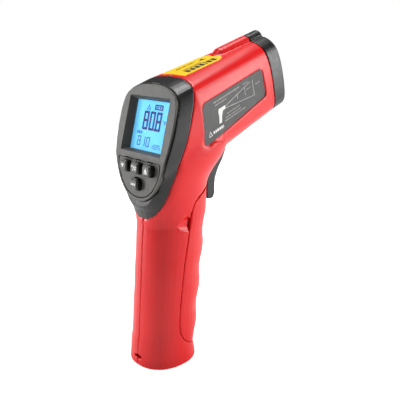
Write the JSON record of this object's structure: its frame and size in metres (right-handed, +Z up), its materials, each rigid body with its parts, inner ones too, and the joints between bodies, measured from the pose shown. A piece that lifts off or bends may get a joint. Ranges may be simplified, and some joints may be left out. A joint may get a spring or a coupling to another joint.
{
  "type": "infrared thermometer",
  "caption": "Hand-held pistol-shaped infrared thermometer with a rear display, a keypad, a trigger and a battery door in the grip.",
  "frame": {"origin": "centre of the flat foot of the grip, on the surface it stands on", "axes": "+X the way the nose points, +Y the user's left, +Z up"},
  "size_m": [0.0998, 0.0446, 0.1718],
  "materials": {
    "red_shell": "semi-gloss moulded ABS, fine grain",
    "black_trim": "satin moulded ABS",
    "grey_trim": "matte moulded ABS",
    "key_black": "satin silicone keys",
    "clear_window": "clear polished acrylic",
    "lcd_glass": "blue backlit display glass",
    "white_plastic": "white light guide",
    "switch_plastic": "matte black",
    "circuit_board": "green solder mask",
    "steel": "plain steel",
    "lens": "polished infrared lens",
    "tube_metal": "black moulded tube",
    "laser_brass": "turned brass",
    "laser_cover": "clear red",
    "tray_plastic": "plain moulded",
    "battery_case": "printed metal jacket",
    "yellow_label": "printed film",
    "dark_label": "printed film"
  },
  "bodies": {
    "housing": {"shell_left": "red_shell", "shell_right": "red_shell", "rear_band": "black_trim", "display_frame": "grey_trim", "display_window": "clear_window", "lcd_panel": "lcd_glass", "lcd_backlight": "white_plastic", "keypad_plate": "grey_trim", "key_switches": "switch_plastic", "key_board": "circuit_board", "main_board": "circuit_board", "trigger_pin": "steel", "trigger_spring": "steel", "trigger_switch": "switch_plastic", "nose_cap": "black_trim", "ir_lens": "lens", "lens_tube": "tube_metal", "ir_sensor": "steel", "sensor_board": "circuit_board", "laser_module": "laser_brass", "laser_window": "laser_cover", "door_pin": "steel", "battery_tray": "tray_plastic", "battery_9v": "battery_case", "battery_snap": "switch_plastic", "buzzer": "switch_plastic", "shell_screws": "steel", "warning_label": "yellow_label", "side_label_right": "dark_label", "side_label_left": "dark_label"},
    "trigger": {"trigger": "black_trim"},
    "battery_door": {"battery_door": "red_shell"},
    "button_down": {"button_down": "key_black"},
    "button_set": {"button_set": "key_black"},
    "button_up": {"button_up": "key_black"},
    "button_mode": {"button_mode": "key_black"}
  },
  "joints": [
    {"name": "trigger_pull", "type": "hinge", "parent": "housing", "child": "trigger", "pos_m": [0.037, 0, 0.1195], "axis": [0, 1, 0], "range_deg": [0, 5.5], "stiffness_Nm_per_rad": 0.5, "springref_deg": -5.73},
    {"name": "press_down", "type": "slide", "parent": "housing", "child": "button_down", "axis": [0.9962, 0, -0.0872], "range_m": [0, 0.0008], "stiffness_N_per_m": 1500, "springref_m": -0.0008},
    {"name": "press_set", "type": "slide", "parent": "housing", "child": "button_set", "axis": [0.9962, 0, -0.0872], "range_m": [0, 0.0008], "stiffness_N_per_m": 1500, "springref_m": -0.0008},
    {"name": "press_up", "type": "slide", "parent": "housing", "child": "button_up", "axis": [0.9962, 0, -0.0872], "range_m": [0, 0.0008], "stiffness_N_per_m": 1500, "springref_m": -0.0008},
    {"name": "press_mode", "type": "slide", "parent": "housing", "child": "button_mode", "axis": [0.9962, 0, -0.0872], "range_m": [0, 0.0008], "stiffness_N_per_m": 1500, "springref_m": -0.0008},
    {"name": "door_open", "type": "hinge", "parent": "housing", "child": "battery_door", "pos_m": [0.011, 0, 0.016], "axis": [0, 1, 0], "range_deg": [0, 45]}
  ]
}
